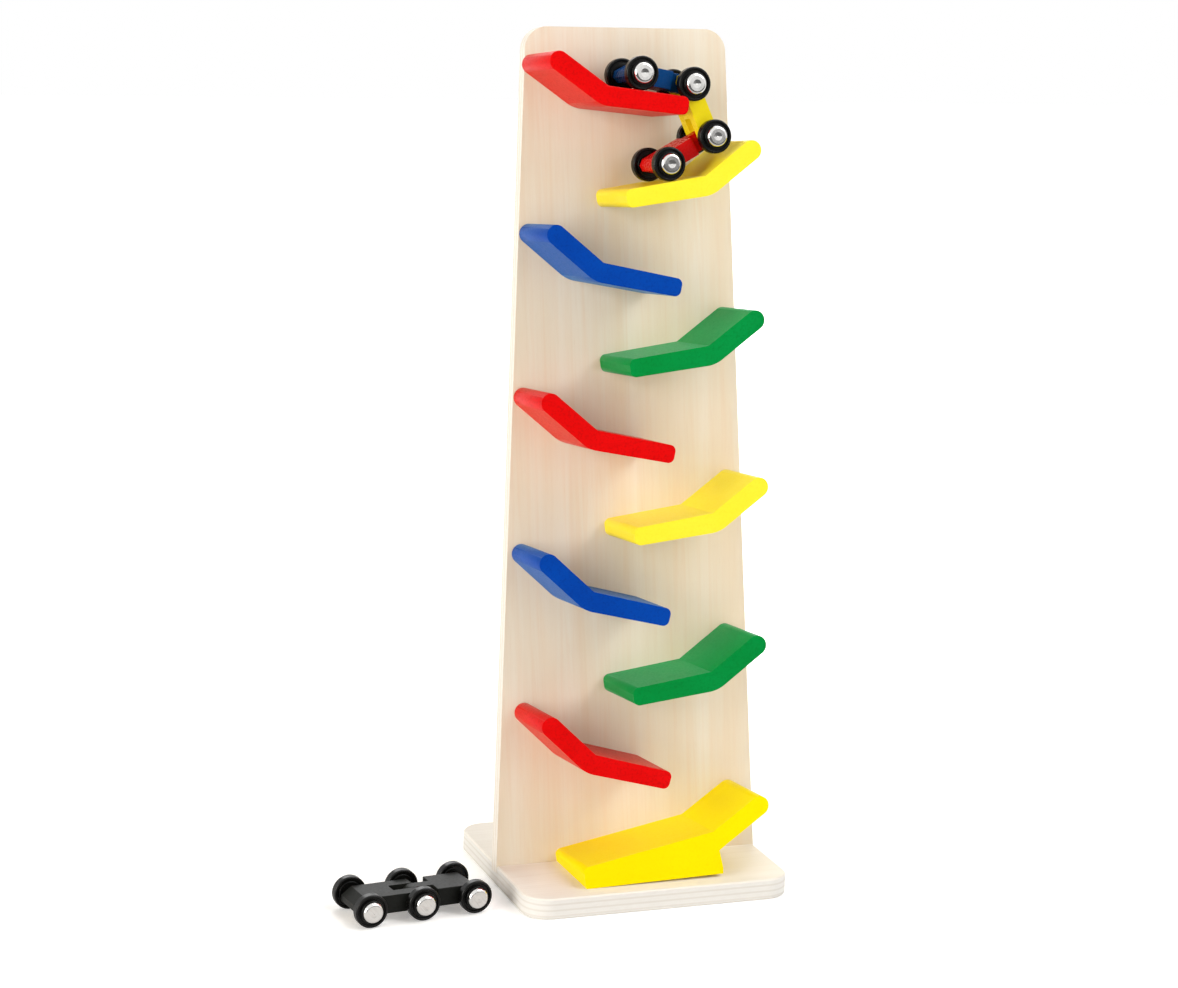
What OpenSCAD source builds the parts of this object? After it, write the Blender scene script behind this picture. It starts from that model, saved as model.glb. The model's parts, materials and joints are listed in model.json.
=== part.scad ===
// Click clack track: a leaning plywood tower whose bent ramps pass jointed cars from side to side.
// Millimetres. The origin is the centre of the base board's underside, +X to the right, +Z up.

/* [Base board] */
// Width of the base board and of the tower's foot, which spans it
base_w = 160; // [152:1:176]
// Depth of the base board from front to back
base_d = 136; // [130:1:160]
// Thickness of the base board
base_t = 12; // [10:0.5:16]
// Radius of the base board's upright corners
base_corner_r = 15; // [8:1:22]
// Width of the chamfer that eases the base board's long edges
base_ease = 0.8; // [0.4:0.1:1.5]
// Depth of board that lies in front of the tower panel
base_front = 60; // [56:1:66]
// Depth of the groove that the tower panel is glued into
groove_depth = 4; // [3:0.5:6]
// Glue gap on each side of the panel in its groove
groove_gap = 0.1; // [0.05:0.05:0.2]

/* [Tower panel] */
// Length of the tower panel above the base board, along its lean
panel_len = 477.5; // [465:0.5:500]
// Width of the tower panel at its top
panel_top_w = 120; // [114:1:134]
// Thickness of the tower panel
panel_t = 9; // [8:0.5:12]
// Radius of the tower panel's two top corners
panel_corner_r = 13; // [8:1:20]
// Backward lean of the tower panel, in degrees
lean = 6.1; // [4:0.1:8]

/* [Ramps] */
// Depth of a ramp out from the panel
ramp_d = 49; // [46:0.5:56]
// Thickness of a ramp at its bend
ramp_t = 11.2; // [10:0.1:12]
// Length of a ramp's steep arm from the bend to its round end
steep_len = 36.5; // [32:0.5:38]
// Slope of the steep arm, in degrees
steep_angle = 38.6; // [35:0.1:42]
// Length of a ramp's shallow arm from the bend to its end
shallow_len = 48.2; // [46:0.2:50]
// Slope of the shallow arm, in degrees
shallow_angle = 10.5; // [9:0.1:12]
// Taper of the shallow arm towards its end, in degrees
taper_angle = 1.2; // [0.4:0.1:2]
// Radius of the outside of the bend
bend_r = 20; // [12:1:26]
// Radius of the corners at the shallow arm's end
end_r = 3.5; // [2.5:0.1:4]

/* [Bottom ramp] */
// Length of the bottom ramp's shallow arm
bottom_len = 80.5; // [72:0.5:86]
// Height of the bottom ramp's low end above the board, at the panel
bottom_end_h = 6.9; // [6:0.1:9]
// Slope of the bottom ramp's steep arm, in degrees
bottom_steep_angle = 34.4; // [31:0.1:38]
// Width of the bottom ramp's foot to the right of its bend
foot_reach = 6.2; // [5:0.1:8]
// Rise of the foot's underside off the board towards the right, in degrees
foot_rise = 1.3; // [0.8:0.1:1.8]

/* [Screws] */
// Diameter of a wood screw's shank
screw_d = 3; // [2.5:0.1:3.4]
// Diameter of a wood screw's countersunk head
screw_head_d = 6; // [5.4:0.1:6.6]
// Length of the screws that hold the ramps, through the panel from behind
ramp_screw_len = 22; // [20:1:28]
// Length of the screws that hold the panel, through the base board from below
base_screw_len = 26; // [22:1:32]
// Depth of the ramp screws' heads below the panel's back
screw_sink = 0.4; // [0.2:0.1:0.8]
// Room round a screw in its hole
screw_gap = 0.05; // [0.02:0.01:0.1]

/* [Cars] */
// Distance between neighbouring axles of a car
axle_pitch = 31.5; // [30.5:0.1:32.5]
// Diameter of a wheel
wheel_d = 19; // [18:0.1:19.6]
// Width of a wheel's rim
rim_w = 5; // [4.4:0.1:5.4]
// Distance between the outer faces of the two rims on an axle
track_w = 37; // [36:0.2:38]
// Diameter of an axle
axle_d = 2.5; // [2:0.1:3]
// Radial room of a wheel or a joint that turns on an axle
run_gap = 0.08; // [0.05:0.01:0.1]
// Diameter of a hub cap
cap_d = 11.8; // [10.4:0.1:12]
// Height of a hub cap's face above the rim
cap_out = 3.2; // [3:0.1:3.8]
// Width of a car body
body_w = 22; // [20:0.2:22.6]
// Height of a car body
body_h = 10.4; // [9.6:0.1:11]
// Length of a body's bevelled end beyond its axle
nose_len = 6.5; // [6:0.1:7]
// Width of the slot in a forked end
slot_w = 7.6; // [7.2:0.1:8.4]
// Side room of a tongue in its slot
tongue_gap = 0.3; // [0.15:0.05:0.4]
// Distance from a joint's axle to the shoulders of the tongued body
shoulder_len = 10.9; // [10:0.1:11.5]
// Distance from a joint's axle to the bottom of the slot
slot_len = 13; // [12.6:0.1:14]
// Gap between a standing wheel and its ramp
seat_gap = 0.2; // [0.1:0.05:0.3]

/* [Hidden] */
$fn = 48;

// Overrun of every cut past the face that it opens
over = 0.5 * screw_d;

// Colours as painted
ramp_colors = ["red", "yellow", "royalblue", "green", "red", "yellow", "royalblue", "green", "red"];

// Where the ramps' bends lie: across the panel, as shares of its foot, and up it, as shares of its length
bend_x_shares = [-0.178, 0.179, -0.198, 0.193, -0.222, 0.21, -0.236, 0.205, -0.231];
bend_height_shares = [0.928, 0.825, 0.7255, 0.627, 0.5315, 0.429, 0.3425, 0.239, 0.149];
// How far each ramp was glued on out of true, in degrees, steeper counted positive
ramp_tilts = [-3.7, -1.3, 1.1, -2.3, 1.7, -2.6, 4.1, -2.5, 5.4];
// The bottom ramp's bend, across the panel
bottom_bend_share = 0.2156;

// Places of the screws along a ramp's steep and shallow arms, and across the base board
steep_screw_share = 0.58;
shallow_screw_share = 0.66;
base_screw_shares = [-0.36, 0, 0.36];
// Depth of the base screws' heads below the underside, and the size of a screw's cross recess
head_sink = base_t / 8;
recess_len_share = 0.62;
recess_w_share = 0.24;
recess_depth_share = 0.3;
// How much wider than its radius a rounded corner's arc is drawn, so that it crosses its two edges
round_share = 0.002;
// Shape of the bottom ramp's foot, as shares of its reach
foot_notch_share = 1.3;
foot_waist_share = 0.62;
// Bevels of a car body's ends: the upper pair, then the lower pair
bevel_len_share = 0.88;
bevel_h_share = 0.42;
low_bevel_len_share = 0.5;
low_bevel_h_share = 0.24;
// Radial room of an axle where it is held fast
fixed_gap = run_gap / 4;
// Parts of a wheel: rim, hollow faces, boss and inner spacer as shares of its radius or of the rim's width
rim_share = 0.19;
recess_share = 0.2;
boss_share = 0.7;
spacer_share = 0.32;
rim_round_share = 0.17;
// The boss's rise and the gap under the cap as shares of the cap's face above the rim, and the cap's round
// shoulder as a share of the cap's own height
boss_out_share = 0.33;
cap_gap_share = 0.05;
cap_edge_share = 0.95;
// The shallow dish in a cap's face, as shares of the cap's diameter and of its height
cap_dish_w_share = 0.4;
cap_dish_share = 0.12;
// Depth of the blind hole in a cap and reach of the axle into it
cap_bore_share = 0.5;
cap_hold_share = 0.42;
// Place of the coloured car's middle, out from the panel
car_out_share = 0.55;

boss_top = rim_w + cap_out * boss_out_share;
cap_low = boss_top + cap_out * cap_gap_share;
cap_top = rim_w + cap_out;
rim_round = rim_w * rim_round_share;
wheel_out = track_w / 2 - rim_w;

panel_y = base_front - base_d / 2;
wheel_r = wheel_d / 2;
axle_r = axle_d / 2;

// Plane geometry in a left-hand ramp's frame: x to the right, y up, the bend at the origin
function steep_dir(a) = [-cos(a), sin(a)];
function shallow_dir(a) = [cos(a), -sin(a)];
function under(a) = [-sin(a), -cos(a)];
function wedge(u, v) = u.x * v.y - u.y * v.x;
function meet(p, u, q, v) = p + u * wedge(q - p, v) / wedge(u, v);

// Puts children in the leaning panel's frame: x across its face, z up it and y back into it
module on_panel() {
    translate([0, panel_y, base_t]) rotate([-lean, 0, 0]) children();
}

// Extrudes an outline that lies on the panel's face out from it
module out_from_panel(depth) {
    on_panel() rotate([90, 0, 0]) linear_extrude(depth) children();
}

// Wood screw that points up from the plane of its head, or with room round it the hole that it needs.
// A hole's head bore runs straight back from that plane by the sink
module screw(len, room, sink) {
    head_r = screw_head_d / 2 + room;
    shank_r = screw_d / 2 + room;
    head_h = head_r - shank_r;
    rotate_extrude() polygon([
        [0, -sink], [head_r, -sink], [head_r, 0],
        [shank_r, head_h], [shank_r, len - screw_d], [0, len + room],
    ]);
}

// Cross recess of a screw's head
module cross_recess() {
    for (a = [0, 90]) rotate(a) {
        translate([0, 0, screw_d * recess_depth_share / 2])
            cube([screw_head_d * recess_len_share, screw_d * recess_w_share, screw_d * recess_depth_share],
                center = true);
    }
}

module driven_screw(len) {
    difference() {
        screw(len, 0, 0);
        translate([0, 0, -screw_gap]) cross_recess();
    }
}

// Places of the base screws: children stand in the panel's mid plane, heads sunk in the underside
module at_base_screws() {
    for (s = base_screw_shares) {
        on_panel() translate([s * base_w, panel_t / 2, head_sink - base_t]) children();
    }
}

// Upright section through the board, from the left limit to the right one, with its edges eased
module eased_section(left, right) {
    left_ease = left < 0 ? base_ease : 0;
    polygon([
        [left + left_ease, 0], [right - base_ease, 0], [right, base_ease], [right, base_t - base_ease],
        [right - base_ease, base_t], [left + left_ease, base_t],
        [left, base_t - left_ease], [left, left_ease],
    ]);
}

// Two crossing bars and four turned corners
module board_blank() {
    bar_w = base_w - 2 * base_corner_r;
    bar_d = base_d - 2 * base_corner_r;
    rotate([90, 0, 0]) linear_extrude(bar_d, center = true) eased_section(-base_w / 2, base_w / 2);
    rotate([90, 0, 90]) linear_extrude(bar_w, center = true) eased_section(-base_d / 2, base_d / 2);
    for (x = [-1, 1], y = [-1, 1]) translate([x * bar_w / 2, y * bar_d / 2, 0])
        rotate_extrude() eased_section(0, base_corner_r);
}

module base_board() {
    color("ivory") difference() {
        board_blank();
        on_panel() translate([-base_w, -groove_gap, -groove_depth])
            cube([2 * base_w, panel_t + 2 * groove_gap, base_t]);
        at_base_screws() screw(base_screw_len, screw_gap, base_t);
    }
}

// Takes the point off an outline's corner p and leaves it round: u and v run from it along its two edges
module corner_off(p, u, v, r) {
    half = acos(u * v) / 2;
    middle = (u + v) / norm(u + v);
    difference() {
        polygon([p + u * r / tan(half), p - middle * over, p + v * r / tan(half)]);
        translate(p + middle * r / sin(half)) circle(r * (1 + round_share));
    }
}

module panel_outline() {
    half_top = panel_top_w / 2;
    half_foot = base_w / 2;
    top = [half_top, panel_len];
    side = [half_foot - half_top, -panel_len];
    difference() {
        polygon([
            [-half_foot, -groove_depth], [half_foot, -groove_depth], [half_foot, 0], top,
            [-half_top, panel_len], [-half_foot, 0],
        ]);
        for (m = [0, 1]) mirror([m, 0]) corner_off(top, [-1, 0], side / norm(side), panel_corner_r);
    }
}

module tower_panel() {
    color("bisque") difference() {
        on_panel() rotate([90, 0, 0]) translate([0, 0, -panel_t]) linear_extrude(panel_t) panel_outline();
        for (i = [0 : len(bend_x_shares)]) at_ramp_screws(i)
            screw(ramp_screw_len, screw_gap, screw_sink + over);
        at_base_screws() screw(base_screw_len, screw_gap, base_t);
    }
}

// Ramp outline with its bend at the origin: round steep end, rounded outer bend and a tapered shallow arm
module ramp_outline() {
    steep = steep_dir(steep_angle);
    shallow = shallow_dir(shallow_angle);
    taper = shallow_dir(shallow_angle - taper_angle);
    steep_under = under(steep_angle);
    shallow_under = under(shallow_angle);
    bend = meet(steep_under * ramp_t, steep, shallow_under * ramp_t, taper);
    end_top = shallow * shallow_len;
    end_low = meet(shallow_under * ramp_t, taper, end_top, shallow_under);
    difference() {
        polygon([
            [0, 0], steep * steep_len, steep * steep_len + steep_under * ramp_t, bend, end_low, end_top,
        ]);
        steep_end_off(steep, steep_under);
        corner_off(bend, steep, taper, bend_r);
        corner_off(end_low, -taper, -shallow_under, end_r);
        corner_off(end_top, -shallow, shallow_under, end_r);
    }
}

// Leaves the end of a steep arm fully round
module steep_end_off(steep, steep_under) {
    top = steep * steep_len;
    corner_off(top, -steep, steep_under, ramp_t / 2);
    corner_off(top + steep_under * ramp_t, -steep, -steep_under, ramp_t / 2);
}

function ramp_side(i) = bend_x(i) < 0 ? 0 : 1;
function bend_x(i) = base_w * (i < len(bend_x_shares) ? bend_x_shares[i] : bottom_bend_share);
function bend_h(i) = i < len(bend_height_shares) ? panel_len * bend_height_shares[i]
    : bottom_end_h + bottom_len * sin(shallow_angle);
function ramp_tilt(i) = i < len(ramp_tilts) ? ramp_tilts[i] : 0;

// Puts a ramp's plane frame at its place on the face, mirrored for the right-hand ramps
module at_bend(i) {
    translate([bend_x(i), bend_h(i)]) mirror([ramp_side(i), 0]) rotate(-ramp_tilt(i)) children();
}

// Two screws in each ramp's arms: children point out from the back of the panel
module at_ramp_screws(i) {
    steep_a = i < len(ramp_tilts) ? steep_angle : bottom_steep_angle;
    long = i < len(ramp_tilts) ? shallow_len : bottom_len;
    spots = [
        steep_dir(steep_a) * steep_len * steep_screw_share + under(steep_a) * ramp_t / 2,
        shallow_dir(shallow_angle) * long * shallow_screw_share + under(shallow_angle) * ramp_t / 2,
    ];
    on_panel() rotate([90, 0, 0]) at_bend(i) for (p = spots) translate([p.x, p.y, screw_sink - panel_t])
        children();
}

module ramp(i) {
    color(ramp_colors[i]) difference() {
        out_from_panel(ramp_d) at_bend(i) ramp_outline();
        at_ramp_screws(i) screw(ramp_screw_len, screw_gap, 0);
    }
}

// Bottom ramp with its solid foot: the outline runs on below the board and is trimmed to it
module bottom_outline() {
    steep = steep_dir(bottom_steep_angle);
    shallow = shallow_dir(shallow_angle);
    steep_under = under(bottom_steep_angle);
    shallow_under = under(shallow_angle);
    height = bend_h(len(bend_x_shares));
    drop = height + ramp_d;
    notch = meet(steep_under * ramp_t, steep, [-foot_notch_share * foot_reach, 0], [0, 1]);
    end_top = shallow * bottom_len;
    difference() {
        polygon([
            [0, 0], steep * steep_len, steep * steep_len + steep_under * ramp_t, notch,
            [-foot_waist_share * foot_reach, notch.y - foot_reach / 2],
            [-foot_reach, -height], [-foot_reach, -drop],
            end_top + shallow_under * drop, end_top,
        ]);
        steep_end_off(steep, steep_under);
        corner_off(end_top, -shallow, shallow_under, end_r);
    }
}

module bottom_ramp() {
    i = len(bend_x_shares);
    low_x = bend_x(i) - bottom_len * cos(shallow_angle);
    color("gold") difference() {
        out_from_panel(ramp_d) at_bend(i) bottom_outline();
        translate([low_x, -base_d, base_t]) rotate([0, -foot_rise, 0])
            translate([-base_w, 0, -base_w]) cube([3 * base_w, 2 * base_d, base_w]);
        at_ramp_screws(i) screw(ramp_screw_len, screw_gap, 0);
    }
}

module base_screws() {
    color("silver") at_base_screws() driven_screw(base_screw_len);
}

module ramp_screws() {
    color("silver") for (i = [0 : len(bend_x_shares)]) at_ramp_screws(i) driven_screw(ramp_screw_len);
}

// Car link in its own frame: rear axle at the origin, front axle at axle_pitch along x, axles along y.
// Each end is a bevelled "nose", a slotted "fork" or a "tongue" that turns in a fork
function end_points(kind) = kind == "tongue" ? [[shoulder_len, -body_h / 2], [shoulder_len, body_h / 2]]
    : [
        [low_bevel_len_share * nose_len - nose_len, -body_h / 2],
        [-nose_len, low_bevel_h_share * body_h - body_h / 2],
        [-nose_len, body_h / 2 - bevel_h_share * body_h],
        [bevel_len_share * nose_len - nose_len, body_h / 2],
    ];
function flipped(points) = [for (k = [len(points) - 1 : -1 : 0]) [axle_pitch - points[k].x, points[k].y]];

module across(width) {
    rotate([90, 0, 0]) translate([0, 0, -width / 2]) linear_extrude(width) children();
}

module link_end(kind) {
    if (kind == "tongue") across(slot_w - 2 * tongue_gap) {
        circle(d = body_h);
        translate([0, -body_h / 2]) square([shoulder_len + over, body_h]);
    }
}

module link_cut(kind) {
    bore = kind == "tongue" ? axle_r + run_gap : axle_r + fixed_gap;
    rotate([90, 0, 0]) cylinder(h = 2 * body_w, r = bore, center = true);
    if (kind == "fork") translate([-2 * nose_len, -slot_w / 2, -body_h])
        cube([2 * nose_len + slot_len, slot_w, 2 * body_h]);
}

module link(rear, front) {
    difference() {
        union() {
            across(body_w) polygon(concat(end_points(rear), flipped(end_points(front))));
            link_end(rear);
            translate([axle_pitch, 0, 0]) mirror([1, 0, 0]) link_end(front);
        }
        link_cut(rear);
        translate([axle_pitch, 0, 0]) mirror([1, 0, 0]) link_cut(front);
    }
}

// Wheel turned about z, which points outward from the car; z is zero at the rim's inner face
module rounded_band(r_in, r_out, z0, z1, r) {
    translate([r_in, z0 + r]) square([r_out - r_in, z1 - z0 - 2 * r]);
    translate([r_in + r, z0]) square([r_out - r_in - 2 * r, z1 - z0]);
    for (x = [r_in + r, r_out - r], z = [z0 + r, z1 - r]) translate([x, z]) circle(r);
}

module wheel_shape() {
    bore = axle_r + run_gap;
    rim_in = wheel_r * (1 - rim_share);
    side_room = wheel_out - body_w / 2;
    rotate_extrude() {
        rounded_band(rim_in, wheel_r, 0, rim_w, rim_round);
        translate([bore, recess_share * rim_w])
            square([rim_in + rim_round - bore, rim_w * (1 - 2 * recess_share)]);
        rounded_band(bore, wheel_r * boss_share, recess_share * rim_w / 2, boss_top, rim_round / 2);
        translate([bore, 2 * run_gap - side_room])
            square([wheel_r * spacer_share - bore, side_room + rim_w / 2]);
    }
}

module cap_shape() {
    cap_h = cap_top - cap_low;
    dish_w = cap_d * cap_dish_w_share / 2;
    dish_depth = cap_h * cap_dish_share;
    dish_r = (dish_w ^ 2 + dish_depth ^ 2) / (2 * dish_depth);
    bore = axle_r + fixed_gap;
    rotate_extrude() difference() {
        translate([0, cap_low]) square([cap_d / 2, cap_h]);
        corner_off([cap_d / 2, cap_top], [-1, 0], [0, -1], cap_h * cap_edge_share);
        translate([0, cap_top + dish_r - dish_depth]) circle(dish_r);
        translate([-bore, cap_low - over]) square([2 * bore, over + cap_h * cap_bore_share]);
    }
}

// Puts a wheel's or a cap's frame at one end of an axle: side -1 is the near end, 1 the far end
module at_wheel(side) {
    rotate([-90 * side, 0, 0]) translate([0, 0, wheel_out]) children();
}

module axle_shape() {
    reach = wheel_out + cap_low + (cap_top - cap_low) * cap_hold_share;
    rotate([90, 0, 0]) cylinder(h = 2 * reach, r = axle_r, center = true);
}

// The coloured car tips over the end of ramp 1 and its lead link stands on ramp 2.
// Its axles are found on the panel's face in turn
car_out = ramp_d * car_out_share;
// Direction from the end's rounded corner to the second axle, in degrees
tip_angle = 51.6;
// Gap between the third wheel and the steep arm that the middle link hangs down to
hang_gap = 3.27;
rest_r = wheel_r + seat_gap;
arm_angle_1 = shallow_angle + ramp_tilts[0];
arm_angle_2 = shallow_angle + ramp_tilts[1];
arm_dir_1 = shallow_dir(arm_angle_1);
arm_up_1 = -under(arm_angle_1);
arm_dir_2 = [-cos(arm_angle_2), -sin(arm_angle_2)];
arm_up_2 = [-sin(arm_angle_2), cos(arm_angle_2)];
steep_2 = steep_angle + ramp_tilts[1];
steep_up_2 = [-sin(steep_2), cos(steep_2)];
bend_1 = [bend_x(0), bend_h(0)];
bend_2 = [bend_x(1), bend_h(1)];
end_corner = bend_1 + arm_dir_1 * (shallow_len - end_r) - arm_up_1 * end_r;
axle_2 = end_corner + (end_r + rest_r) * [cos(tip_angle), sin(tip_angle)];
back_1 = axle_2 - bend_1 - arm_up_1 * rest_r;
axle_1 = bend_1 + arm_up_1 * rest_r
    + arm_dir_1 * (back_1 * arm_dir_1 - sqrt(axle_pitch ^ 2 - (back_1 * arm_up_1) ^ 2));
// The middle link swings down until its wheel is that near, or as far as it reaches
hang_3 = (axle_2 - bend_2) * steep_up_2 - wheel_r - hang_gap;
middle_slope = steep_2 - 90 - acos(min(1, hang_3 / axle_pitch));
axle_3 = axle_2 + axle_pitch * [cos(middle_slope), sin(middle_slope)];
back_3 = axle_3 - bend_2 - arm_up_2 * rest_r;
axle_4 = bend_2 + arm_up_2 * rest_r
    + arm_dir_2 * (back_3 * arm_dir_2 + sqrt(axle_pitch ^ 2 - (back_3 * arm_up_2) ^ 2));
color_axles = [axle_1, axle_2, axle_3, axle_4];

function slope(p, q) = atan2(q.y - p.y, q.x - p.x);

// Puts a link's frame so that it runs from coloured axle k to the next
module at_color_link(k) {
    p = color_axles[k - 1];
    on_panel() translate([p.x, -car_out, p.y]) rotate([0, -slope(p, color_axles[k]), 0]) children();
}

module at_color_axle(k) {
    p = color_axles[k - 1];
    on_panel() translate([p.x, -car_out, p.y]) children();
}

module blue_car_body() {
    color("navy") at_color_link(1) link("nose", "tongue");
}

module yellow_car_body() {
    color("yellow") at_color_link(2) link("fork", "fork");
}

module red_car_body() {
    color("firebrick") at_color_link(3) link("tongue", "nose");
}

module color_axle(k) {
    color("silver") at_color_axle(k) axle_shape();
}

module color_caps(k) {
    color("silver") at_color_axle(k) for (side = [-1, 1]) at_wheel(side) cap_shape();
}

module color_wheel(k, side) {
    color("dimgray") at_color_axle(k) at_wheel(side) wheel_shape();
}

// The black car stands on the floor, left of the board and a little turned
black_gap = 17;
black_heading = 6.8;
black_front_share = 0.42;
black_x = -base_w / 2 - black_gap - wheel_r - axle_pitch * cos(black_heading);
black_y = panel_y - base_front * black_front_share;
module at_black_axle(k) {
    translate([black_x, black_y, wheel_r]) rotate(black_heading)
        translate([(k - 2) * axle_pitch, 0, 0]) children();
}

module black_rear_body() {
    color("dimgray") at_black_axle(1) link("nose", "fork");
}

module black_front_body() {
    color("dimgray") at_black_axle(2) link("tongue", "nose");
}

module black_axle(k) {
    color("silver") at_black_axle(k) axle_shape();
}

module black_caps(k) {
    color("silver") at_black_axle(k) for (side = [-1, 1]) at_wheel(side) cap_shape();
}

module black_wheel(k, side) {
    color("dimgray") at_black_axle(k) at_wheel(side) wheel_shape();
}

base_board();
tower_panel();
base_screws();
ramp_screws();
ramp(0);  // ramp_1
ramp(1);  // ramp_2
ramp(2);  // ramp_3
ramp(3);  // ramp_4
ramp(4);  // ramp_5
ramp(5);  // ramp_6
ramp(6);  // ramp_7
ramp(7);  // ramp_8
ramp(8);  // ramp_9
bottom_ramp();
blue_car_body();
yellow_car_body();
red_car_body();
color_axle(1);  // color_axle_1
color_axle(2);  // color_axle_2
color_axle(3);  // color_axle_3
color_axle(4);  // color_axle_4
color_caps(1);  // color_caps_1
color_caps(2);  // color_caps_2
color_caps(3);  // color_caps_3
color_caps(4);  // color_caps_4
color_wheel(1, -1);  // color_wheel_1_near
color_wheel(1, 1);  // color_wheel_1_far
color_wheel(2, -1);  // color_wheel_2_near
color_wheel(2, 1);  // color_wheel_2_far
color_wheel(3, -1);  // color_wheel_3_near
color_wheel(3, 1);  // color_wheel_3_far
color_wheel(4, -1);  // color_wheel_4_near
color_wheel(4, 1);  // color_wheel_4_far
black_rear_body();
black_front_body();
black_axle(1);  // black_axle_1
black_axle(2);  // black_axle_2
black_axle(3);  // black_axle_3
black_caps(1);  // black_caps_1
black_caps(2);  // black_caps_2
black_caps(3);  // black_caps_3
black_wheel(1, -1);  // black_wheel_1_near
black_wheel(1, 1);  // black_wheel_1_far
black_wheel(2, -1);  // black_wheel_2_near
black_wheel(2, 1);  // black_wheel_2_far
black_wheel(3, -1);  // black_wheel_3_near
black_wheel(3, 1);  // black_wheel_3_far
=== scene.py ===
"""Click clack track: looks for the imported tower, its ramps and its two jointed cars. Metres throughout."""
import json
import math

import bpy
from mathutils import Matrix, Vector

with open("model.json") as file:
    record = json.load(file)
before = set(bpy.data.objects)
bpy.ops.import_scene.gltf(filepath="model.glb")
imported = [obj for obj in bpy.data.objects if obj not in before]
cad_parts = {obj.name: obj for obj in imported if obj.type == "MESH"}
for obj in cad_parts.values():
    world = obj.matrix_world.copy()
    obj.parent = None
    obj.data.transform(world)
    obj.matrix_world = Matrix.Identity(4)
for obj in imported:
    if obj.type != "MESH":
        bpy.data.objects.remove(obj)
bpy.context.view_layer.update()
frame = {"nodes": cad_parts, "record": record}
nodes = frame["nodes"]
MM = 0.001
WHITE = (1, 1, 1, 1)
# The panel and its ramps lean back from upright
LEAN = math.radians(6.1)

# ---------------------------------------------------------------- camera
# Fitted to the photo: its place, the angles of its view in radians, and the focal length in pixels
EYE = Vector((-0.566157, -1.462564, 0.557896))
YAW, PITCH, ROLL = 0.35232, -0.20920, 0.03495
FOCAL_PX, PHOTO_W = 2806.19, 1178
SENSOR_MM = 36

forward = Vector((math.sin(YAW) * math.cos(PITCH), math.cos(YAW) * math.cos(PITCH), math.sin(PITCH)))
level = Vector((math.cos(YAW), -math.sin(YAW), 0))
upright = level.cross(forward)
right = math.cos(ROLL) * level + math.sin(ROLL) * upright
up = -math.sin(ROLL) * level + math.cos(ROLL) * upright
turn = Matrix((right, up, -forward)).transposed().to_4x4()

camera = bpy.data.objects.new("camera", bpy.data.cameras.new("camera"))
camera.matrix_world = Matrix.Translation(EYE) @ turn
camera.data.sensor_fit = "HORIZONTAL"
camera.data.sensor_width = SENSOR_MM
camera.data.lens = FOCAL_PX / PHOTO_W * SENSOR_MM
camera.data.clip_start = 0.05
camera.data.clip_end = 20
bpy.context.scene.collection.objects.link(camera)
bpy.context.scene.camera = camera
bpy.context.scene.view_settings.view_transform = "Standard"


# ---------------------------------------------------------------- node helpers
class Graph:
    """A small writer of shader nodes for one material or world."""

    def __init__(self, owner, output="OutputMaterial"):
        owner.use_nodes = True
        self.owner = owner
        self.tree = owner.node_tree
        self.tree.nodes.clear()
        self.out = self.node(output)

    def node(self, kind, inputs=None, **settings):
        n = self.tree.nodes.new("ShaderNode" + kind)
        for key, value in settings.items():
            setattr(n, key, value)
        for key, value in (inputs or {}).items():
            self.feed(n.inputs[key], value)
        return n

    def feed(self, socket, value):
        if isinstance(value, bpy.types.NodeSocket):
            self.tree.links.new(value, socket)
        elif isinstance(value, bpy.types.Node):
            self.tree.links.new(value.outputs[0], socket)
        else:
            socket.default_value = value

    def spot(self):
        """Place on the part in metres."""
        return self.node("TexCoord").outputs["Object"]

    def place(self, rotation=(0, 0, 0), scale=(1, 1, 1)):
        """Place on the part in metres, turned and then stretched."""
        turned = self.node("Mapping", {"Vector": self.spot(), "Rotation": rotation})
        return self.node("Mapping", {"Vector": turned, "Scale": scale}).outputs[0]

    def axis(self, vector, letter):
        return self.node("SeparateXYZ", {"Vector": vector}).outputs[letter]

    def sheet_face(self, direction):
        """1 on the two faces of a sheet that lie across a direction, 0 on its cut edges."""
        normal = self.node("NewGeometry").outputs["Normal"]
        along = self.node("VectorMath", {0: normal, 1: direction}, operation="DOT_PRODUCT").outputs["Value"]
        return self.remap(self.math("ABSOLUTE", along), 0.45, 0.75)

    def rays(self, *kinds):
        """1 for a ray of one of these kinds, else 0."""
        paths = self.node("LightPath").outputs
        found = paths[f"Is {kinds[0]} Ray"]
        for kind in kinds[1:]:
            found = self.math("MAXIMUM", found, paths[f"Is {kind} Ray"])
        return found

    def noise(self, where, scale=1.0, detail=3.0, roughness=0.5, distortion=0.0):
        return self.node("TexNoise", {"Vector": where, "Scale": scale, "Detail": detail,
                                      "Roughness": roughness, "Distortion": distortion}).outputs["Fac"]

    def math(self, operation, a, b=0.0):
        return self.node("Math", {0: a, 1: b}, operation=operation).outputs[0]

    def remap(self, value, low, high, out_low=0.0, out_high=1.0, kind="LINEAR"):
        return self.node("MapRange", {"Value": value, "From Min": low, "From Max": high, "To Min": out_low,
                                      "To Max": out_high}, interpolation_type=kind).outputs[0]

    def mix(self, factor, a, b):
        return self.node("Mix", {"Factor": factor, "A": a, "B": b}, data_type="RGBA").outputs["Result"]

    def coat(self, base, pattern, low, high, strength, colour):
        """Lays a colour over another where a pattern is high, up to a strength."""
        return self.mix(self.remap(pattern, low, high, 0.0, strength), base, colour)

    def bump(self, height, strength, depth=0.2 * MM):
        return self.node("Bump", {"Height": height, "Strength": strength, "Distance": depth}).outputs[0]

    def surface(self, shader):
        self.feed(self.out.inputs["Surface"], shader)
        return self.owner

    def principled(self, **inputs):
        """Ends a material; a socket's name is written with underscores."""
        sockets = {key.replace("_", " "): value for key, value in inputs.items()}
        return self.surface(self.node("BsdfPrincipled", sockets))


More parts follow.
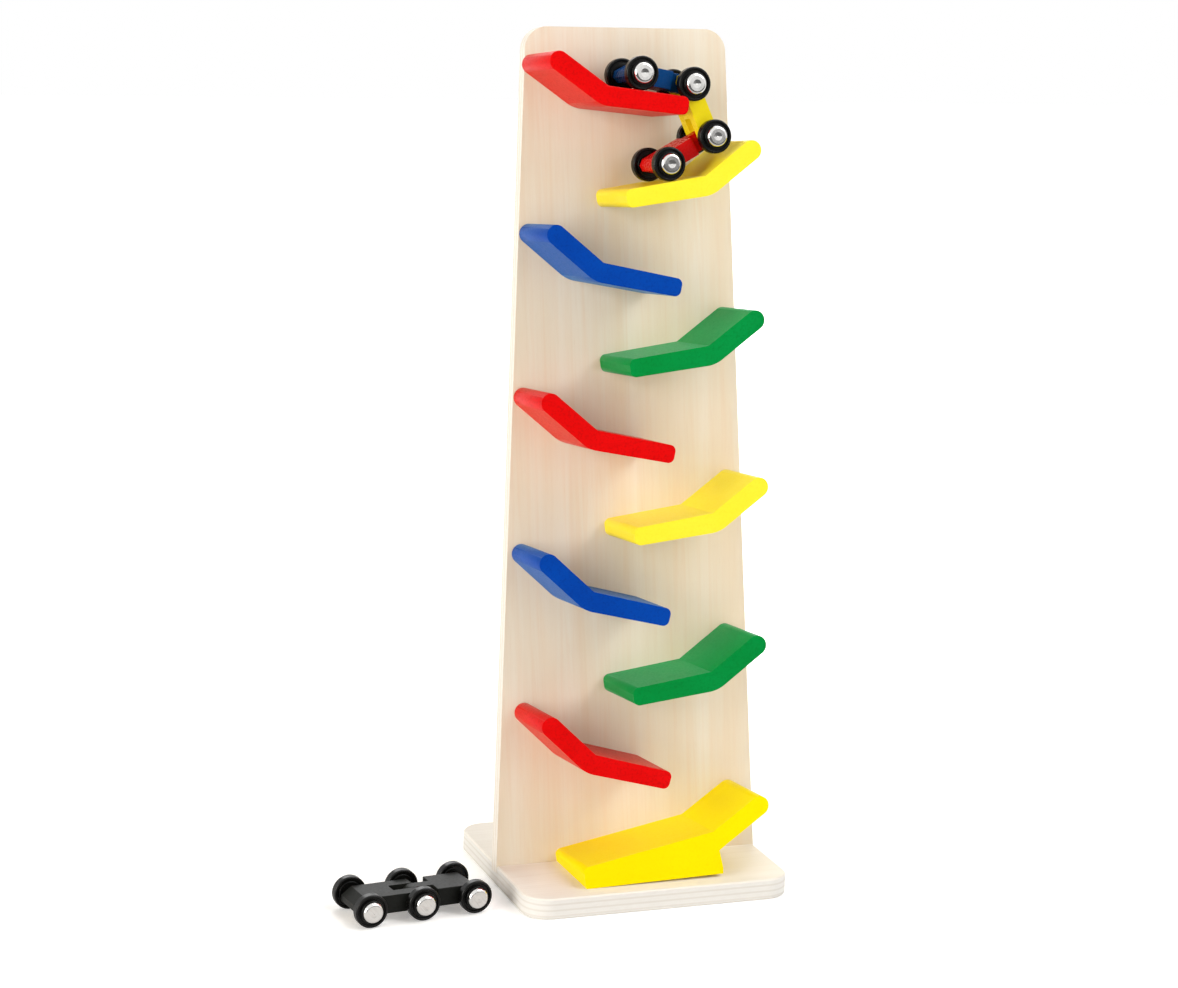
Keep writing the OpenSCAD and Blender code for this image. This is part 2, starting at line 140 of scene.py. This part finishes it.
def srgb(r, g, b):
    """Linear colour of a colour written in 0 to 255."""
    def channel(v):
        v /= 255
        return v / 12.92 if v <= 0.04045 else ((v + 0.055) / 1.055) ** 2.4
    return (channel(r), channel(g), channel(b), 1.0)


# ---------------------------------------------------------------- wood
WOOD_GLOSS = 0.25
# Thickness and number of layers of the two plywood sheets
PANEL_SHEET = (9 * MM, 5)
BASE_SHEET = (12 * MM, 7)
# The panel's grain runs up the leaning face, slightly off its middle line
GRAIN_TURN = (LEAN, math.radians(1.6), 0)


def plies(g, across, sheet, light, dark):
    """Colour of plywood's cut edge: light and dark layers, told by the height of a point across the sheet."""
    thickness, layers = sheet
    layer = g.math("MULTIPLY", g.math("DIVIDE", across, thickness), layers)
    fibre = g.noise(g.place(scale=(260, 260, 900)), roughness=0.6)
    tone = g.coat(light, g.math("PINGPONG", layer, 1.0), 0.55, 0.85, 1.0, dark)
    return g.coat(tone, fibre, 0.3, 0.7, 0.35, dark)


def panel_material():
    g = Graph(bpy.data.materials.new("maple_plywood"))

    def along(scale, detail, roughness, distortion=0.0):
        """Noise drawn out along the grain: scale across the sheet, through it and up it."""
        return g.noise(g.place(GRAIN_TURN, scale), 1.0, detail, roughness, distortion)

    fine = along((640, 60, 20), 4.0, 0.6, 0.3)
    lines = along((210, 30, 8), 3.0, 0.6, 0.9)
    broad = along((48, 10, 1.6), 3.0, 0.5, 0.5)
    flame = along((22, 8, 3.0), 2.0, 0.5, 1.2)
    flecks = along((1500, 200, 130), 2.0, 0.5)
    face = g.coat(srgb(236, 229, 215), broad, 0.35, 0.65, 1.0, srgb(232, 220, 200))
    face = g.coat(face, flame, 0.48, 0.80, 0.50, srgb(235, 213, 184))
    face = g.coat(face, lines, 0.46, 0.72, 0.27, srgb(228, 200, 170))
    face = g.coat(face, fine, 0.48, 0.75, 0.14, srgb(219, 199, 172))
    face = g.coat(face, flecks, 0.62, 0.78, 0.13, srgb(208, 184, 154))
    edge = plies(g, g.axis(g.place(GRAIN_TURN), "Y"), PANEL_SHEET, srgb(238, 233, 226), srgb(225, 215, 202))
    colour = g.mix(g.sheet_face((0, -math.cos(LEAN), math.sin(LEAN))), edge, face)
    height = g.math("ADD", fine, g.math("MULTIPLY", flecks, 0.4))
    return g.principled(Base_Color=colour, Roughness=g.remap(fine, 0.3, 0.8, 0.50, 0.62),
                        Specular_IOR_Level=WOOD_GLOSS, Normal=g.bump(height, 0.07))


def base_material():
    g = Graph(bpy.data.materials.new("whitewashed_plywood"))
    fine = g.noise(g.place(scale=(16, 520, 60)), 1.0, 4.0, 0.6)
    broad = g.noise(g.place(scale=(6, 60, 20)), 1.0, 3.0, 0.55, 0.5)
    face = g.coat(srgb(245, 241, 234), broad, 0.3, 0.7, 1.0, srgb(239, 233, 224))
    face = g.coat(face, fine, 0.5, 0.8, 0.4, srgb(226, 217, 206))
    edge = plies(g, g.axis(g.spot(), "Z"), BASE_SHEET, srgb(232, 230, 227), srgb(219, 215, 209))
    return g.principled(Base_Color=g.mix(g.sheet_face((0, 0, 1)), edge, face), Roughness=0.55,
                        Specular_IOR_Level=WOOD_GLOSS, Normal=g.bump(fine, 0.10))


# ---------------------------------------------------------------- paint
# The light that paint throws on the wood beside it is muted by this share of a pale wood tone
BLEED_MUTE = 0.35
BLEED_TONE = srgb(232, 205, 162)


def paint(name, colour, dark, light, rough=0.28, weave=1.0, specular=0.09, sheen=0.0, sheen_tint=WHITE):
    """Paint on sanded wood: faint grain along the ramp and the fine tooth of a rolled coat."""
    g = Graph(bpy.data.materials.new(name))
    tower_at = g.place((LEAN, 0, 0))
    grain = g.noise(g.place((LEAN, 0, 0), (60, 60, 700)), roughness=0.6)
    tooth = g.noise(tower_at, 700.0, roughness=0.6)
    tone = g.coat(colour, g.noise(tower_at, 22.0), 0.35, 0.65, 1.0, light)
    tone = g.coat(tone, tooth, 0.5, 0.72, 0.4, dark)
    tone = g.coat(tone, grain, 0.55, 0.8, 0.25, dark)
    tone = g.mix(g.math("MULTIPLY", g.rays("Diffuse"), BLEED_MUTE), tone, BLEED_TONE)
    height = g.math("ADD", g.math("MULTIPLY", grain, 0.8), g.math("MULTIPLY", tooth, 0.5))
    return g.principled(Base_Color=tone, Roughness=g.remap(tooth, 0.3, 0.7, rough, rough + 0.10),
                        Specular_IOR_Level=specular, Sheen_Weight=sheen, Sheen_Tint=sheen_tint,
                        Normal=g.bump(height, 0.10 * weave))


# ---------------------------------------------------------------- plastic and metal
# Depth of the bumps, and the tone of the fine scratches in every metal
FINE_DEPTH = 0.1 * MM
SCRATCH_TONE = srgb(150, 148, 145)


def wheel_material():
    g = Graph(bpy.data.materials.new("wheel_black"))
    tooth = g.noise(g.place(), 1600.0, 2.0)
    cloud = g.noise(g.place(), 120.0)
    colour = g.coat(srgb(8, 8, 8), cloud, 0.3, 0.7, 1.0, srgb(17, 17, 16))
    return g.principled(Base_Color=colour, Roughness=g.remap(cloud, 0.3, 0.7, 0.20, 0.32),
                        Specular_IOR_Level=0.22, Normal=g.bump(tooth, 0.05, FINE_DEPTH))


def metal(name, colour, rough, spread):
    g = Graph(bpy.data.materials.new(name))
    cloud = g.noise(g.place(), 260.0, 4.0, 0.6)
    scratch = g.noise(g.place((0.4, 0.2, 0.9), (2200, 120, 120)), roughness=0.6)
    return g.principled(Base_Color=g.coat(colour, scratch, 0.5, 0.8, 0.3, SCRATCH_TONE), Metallic=1.0,
                        Roughness=g.remap(cloud, 0.3, 0.7, rough, rough + spread),
                        Normal=g.bump(scratch, 0.04, FINE_DEPTH))


# ---------------------------------------------------------------- looks of the nodes
SLOT_LOOKS = {
    "whitewashed_plywood": base_material(),
    "maple_plywood": panel_material(),
    "paint_red": paint("paint_red", srgb(213, 0, 2), srgb(150, 0, 0), srgb(222, 2, 6),
                       specular=0.05, sheen=0.12, sheen_tint=(1.0, 0.2, 0.08, 1)),
    "paint_yellow": paint("paint_yellow", srgb(248, 228, 44), srgb(245, 217, 34), srgb(250, 232, 56)),
    "paint_blue": paint("paint_blue", srgb(0, 58, 156), srgb(0, 38, 112), srgb(0, 65, 166),
                        specular=0.05, sheen=0.19, sheen_tint=(0.0, 0.55, 1.0, 1)),
    "paint_green": paint("paint_green", srgb(0, 131, 53), srgb(0, 98, 34), srgb(0, 140, 62),
                         specular=0.05, sheen=0.15, sheen_tint=(0.0, 1.0, 0.5, 1)),
    "car_blue": paint("car_blue", srgb(0, 62, 124), srgb(0, 50, 104), srgb(2, 72, 138), 0.22, 0.6),
    "car_yellow": paint("car_yellow", srgb(250, 228, 20), srgb(242, 212, 8), srgb(252, 234, 34), 0.24, 0.6),
    "car_red": paint("car_red", srgb(196, 6, 6), srgb(176, 0, 2), srgb(208, 14, 12), 0.22, 0.6),
    "car_black": paint("car_black", srgb(26, 27, 25), srgb(17, 18, 16), srgb(35, 36, 34), 0.36),
    "wheel_black": wheel_material(),
    "hub_chrome": metal("hub_chrome", srgb(232, 230, 227), 0.06, 0.07),
    "axle_steel": metal("axle_steel", srgb(200, 200, 198), 0.28, 0.12),
    "zinc_screw": metal("zinc_screw", srgb(205, 205, 200), 0.30, 0.15),
}

# The bottom ramp is a deeper yellow than the others
NODE_LOOKS = {
    "bottom_ramp": paint("paint_golden", srgb(250, 224, 0), srgb(247, 215, 0), srgb(252, 228, 0),
                         specular=0.03),
}

# Width of the eased edges, by a word in the node's name, and the nodes with that word that stay sharp
EASES = {"ramp": 1.1 * MM, "tower": 1.0 * MM, "body": 0.45 * MM}
SHARP_NODES = {"ramp_screws"}
# Triangles within the first angle of each other are one flat face, and edges past the second are eased
FLAT_ANGLE = math.radians(0.4)
EDGE_ANGLE = math.radians(28)


def soften(obj, width):
    """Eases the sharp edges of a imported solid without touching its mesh."""
    weld = obj.modifiers.new("weld", "WELD")
    weld.merge_threshold = 0.01 * MM
    flat = obj.modifiers.new("flat", "DECIMATE")
    flat.decimate_type = "DISSOLVE"
    flat.angle_limit = FLAT_ANGLE
    bevel = obj.modifiers.new("bevel", "BEVEL")
    bevel.width = width
    bevel.segments = 3
    bevel.limit_method = "ANGLE"
    bevel.angle_limit = EDGE_ANGLE


for part in frame["record"]["subparts"]:
    name = part["node"]
    obj = nodes[name]
    obj.data.materials.clear()
    obj.data.materials.append(NODE_LOOKS.get(name, SLOT_LOOKS[part["material_slot"]]))
    widths = [width for word, width in EASES.items() if word in name]
    if widths and name not in SHARP_NODES:
        soften(obj, widths[0])

# ---------------------------------------------------------------- stage
# Strength of the light from all round, and of the dim room that gloss sees on the camera's side
AMBIENT = 0.21
DIM = 0.15
FLOOR_REACH = 6
# The floor is this far under the part, so that the two faces never share a plane
FLOOR_DROP = 0.2 * MM

corners = [(x * FLOOR_REACH, y * FLOOR_REACH, 0) for x, y in ((-1, -1), (1, -1), (1, 1), (-1, 1))]
floor_mesh = bpy.data.meshes.new("floor")
floor_mesh.from_pydata(corners, [], [(0, 1, 2, 3)])
floor = bpy.data.objects.new("floor", floor_mesh)
floor.location.z = -FLOOR_DROP
bpy.context.scene.collection.objects.link(floor)

# The floor takes shadows near the part and is plain white farther out. Gloss sees it dim toward the camera
g = Graph(bpy.data.materials.new("floor"))
away = g.node("VectorMath", {0: g.spot()}, operation="LENGTH").outputs["Value"]
glow = g.math("MULTIPLY", g.rays("Camera", "Glossy", "Transmission"), g.remap(away, 0.15, 0.75, 0.30, 1.0))
lit = g.node("AddShader", {0: g.node("BsdfDiffuse", {"Color": (0.92, 0.92, 0.915, 1)}),
                           1: g.node("Emission", {"Color": WHITE, "Strength": glow})})
mirrored = g.math("MULTIPLY", g.rays("Glossy"), g.remap(g.axis(g.spot(), "Y"), 0.0, -0.70, 0.35, 1.0))
dim_floor = g.node("Emission", {"Color": WHITE, "Strength": DIM})
floor.data.materials.append(g.surface(g.node("MixShader", {0: mirrored, 1: lit, 2: dim_floor})))

# The room is white to the camera. Gloss sees it white too, but dim below a line on the camera's side.
# All other rays find a warm, weak light
world = bpy.data.worlds.new("studio")
bpy.context.scene.world = world
g = Graph(world, "OutputWorld")
toward = g.node("TexCoord").outputs["Generated"]
behind = g.remap(g.axis(toward, "Y"), -0.95, -0.35, DIM, 1.0, "SMOOTHSTEP")
over = g.remap(g.axis(toward, "Z"), 0.108, 0.132, DIM, 1.0, "SMOOTHSTEP")
gloss = g.math("MULTIPLY", g.rays("Glossy", "Transmission"), g.math("MAXIMUM", behind, over))
others = g.math("SUBTRACT", 1.0, g.rays("Camera", "Glossy", "Transmission"))
strength = g.math("ADD", g.math("MAXIMUM", g.rays("Camera"), gloss), g.math("MULTIPLY", others, AMBIENT))
tint = g.mix(others, WHITE, (1.0, 0.88, 0.72, 1))
g.surface(g.node("Background", {"Color": tint, "Strength": strength}))

# ---------------------------------------------------------------- lamps
# All lamps face the tower's middle
AIM = Vector((0, 0, 0.24))
LAMP_DISTANCE = 3.6


def softbox(name, azimuth, elevation, power, size=2.2, gloss=True, colour=(1, 1, 1)):
    """A square lamp; azimuth 0 is straight in front of the tower, positive to the right."""
    a, e = math.radians(azimuth), math.radians(elevation)
    toward_lamp = Vector((math.cos(e) * math.sin(a), -math.cos(e) * math.cos(a), math.sin(e)))
    light = bpy.data.lights.new(name, "AREA")
    light.shape = "SQUARE"
    light.size = size
    light.energy = power
    light.color = colour
    lamp = bpy.data.objects.new(name, light)
    lamp.location = AIM + LAMP_DISTANCE * toward_lamp
    lamp.rotation_euler = (-toward_lamp).to_track_quat("-Z", "Y").to_euler()
    lamp.visible_glossy = gloss
    bpy.context.scene.collection.objects.link(lamp)


softbox("left", -70, 12, 113, colour=(1.0, 0.97, 0.90))
softbox("right", 57, 48, 84, 2.6, colour=(0.97, 0.985, 1.0))
softbox("front", 28, 12, 27, gloss=False)
softbox("back", 170, 40, 70, 2.6)
